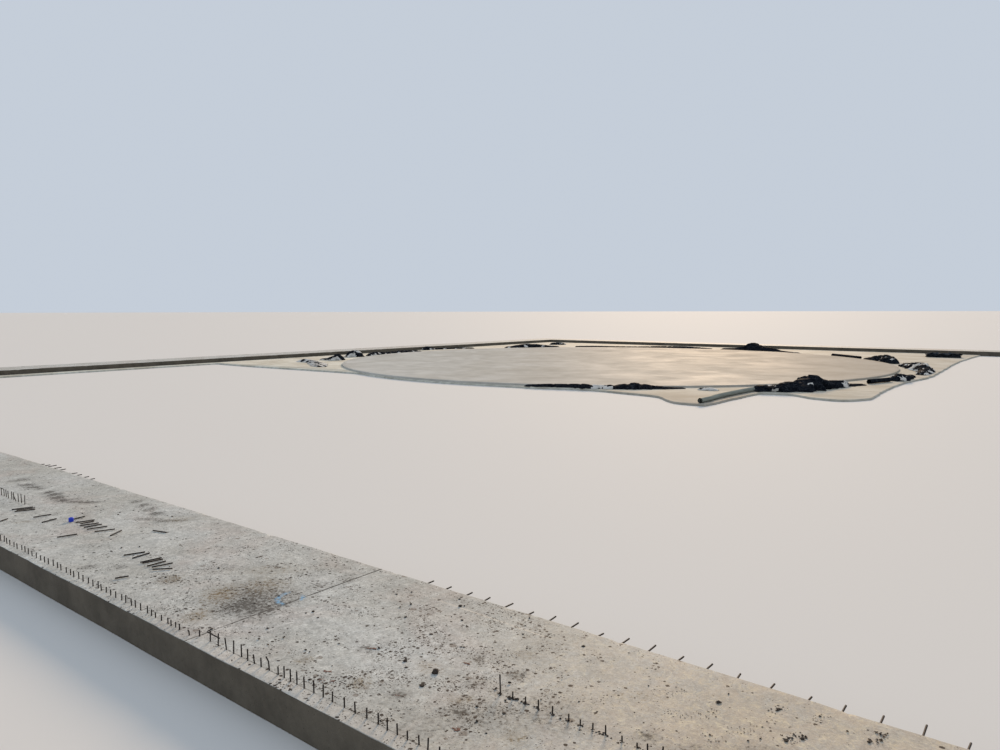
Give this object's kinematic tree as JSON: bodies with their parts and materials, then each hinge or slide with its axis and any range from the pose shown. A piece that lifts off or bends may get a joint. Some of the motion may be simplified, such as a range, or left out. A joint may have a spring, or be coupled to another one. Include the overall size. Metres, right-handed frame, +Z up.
{
  "type": "biogas digester foundation works, 1:2 scale model",
  "caption": "Foundation works of a round digester at 1:2: ring of strip footings with starter bars, blinding pad, round floor slab, bunched sheeting and a membrane roll.",
  "frame": {"origin": "middle of the works in plan, on the underside of the concrete", "axes": "+X to the right along the near strip, +Y away from the near strip towards the far one, +Z up"},
  "size_m": [33.2496, 38.2496, 0.4403],
  "materials": {
    "cast_concrete": "trowelled and weathered grey concrete",
    "blinding_concrete": "rough screeded pale concrete",
    "floated_concrete": "power floated, with a satin sheen",
    "starter_steel": "rusty ribbed reinforcing steel",
    "black_polythene": "crumpled black film with a pale reverse",
    "membrane": "pale rolled membrane"
  },
  "bodies": {
    "root": {"near_strip_bay_1": "cast_concrete", "near_strip_bay_2": "cast_concrete", "near_strip_bay_3": "cast_concrete", "near_strip_bay_4": "cast_concrete", "far_strip_bay_1": "cast_concrete", "far_strip_bay_2": "cast_concrete", "far_strip_bay_3": "cast_concrete", "far_strip_bay_4": "cast_concrete", "left_strip_bay_1": "cast_concrete", "left_strip_bay_2": "cast_concrete", "left_strip_bay_3": "cast_concrete", "left_strip_bay_4": "cast_concrete", "left_strip_bay_5": "cast_concrete", "right_strip_bay_1": "cast_concrete", "right_strip_bay_2": "cast_concrete", "right_strip_bay_3": "cast_concrete", "right_strip_bay_4": "cast_concrete", "right_strip_bay_5": "cast_concrete", "left_blinding_margin": "blinding_concrete", "blinding_pad": "blinding_concrete", "round_floor_slab": "floated_concrete", "edge_starter_bars_1": "starter_steel", "edge_starter_bars_2": "starter_steel", "edge_starter_bars_3": "starter_steel", "edge_starter_bars_4": "starter_steel", "inner_starter_bars_right": "starter_steel", "inner_starter_bars_left": "starter_steel", "sheet_scraps_left": "black_polythene", "sheet_heap_left_corner": "black_polythene", "sheet_heap_left": "black_polythene", "sheet_band_left": "black_polythene", "sheet_fold_left": "black_polythene", "sheet_heap_far_left": "black_polythene", "sheet_heap_far_corner": "black_polythene", "sheet_band_far": "black_polythene", "sheet_heap_far": "black_polythene", "sheet_roll_far_right": "black_polythene", "sheet_heap_far_right": "black_polythene", "sheet_heap_right": "black_polythene", "sheet_strip_right": "black_polythene", "sheet_roll_right": "black_polythene", "sheet_heap_near_right": "black_polythene", "sheet_band_near": "black_polythene", "membrane_roll": "membrane", "folded_sheet_stack": "black_polythene"}
  },
  "joints": []
}
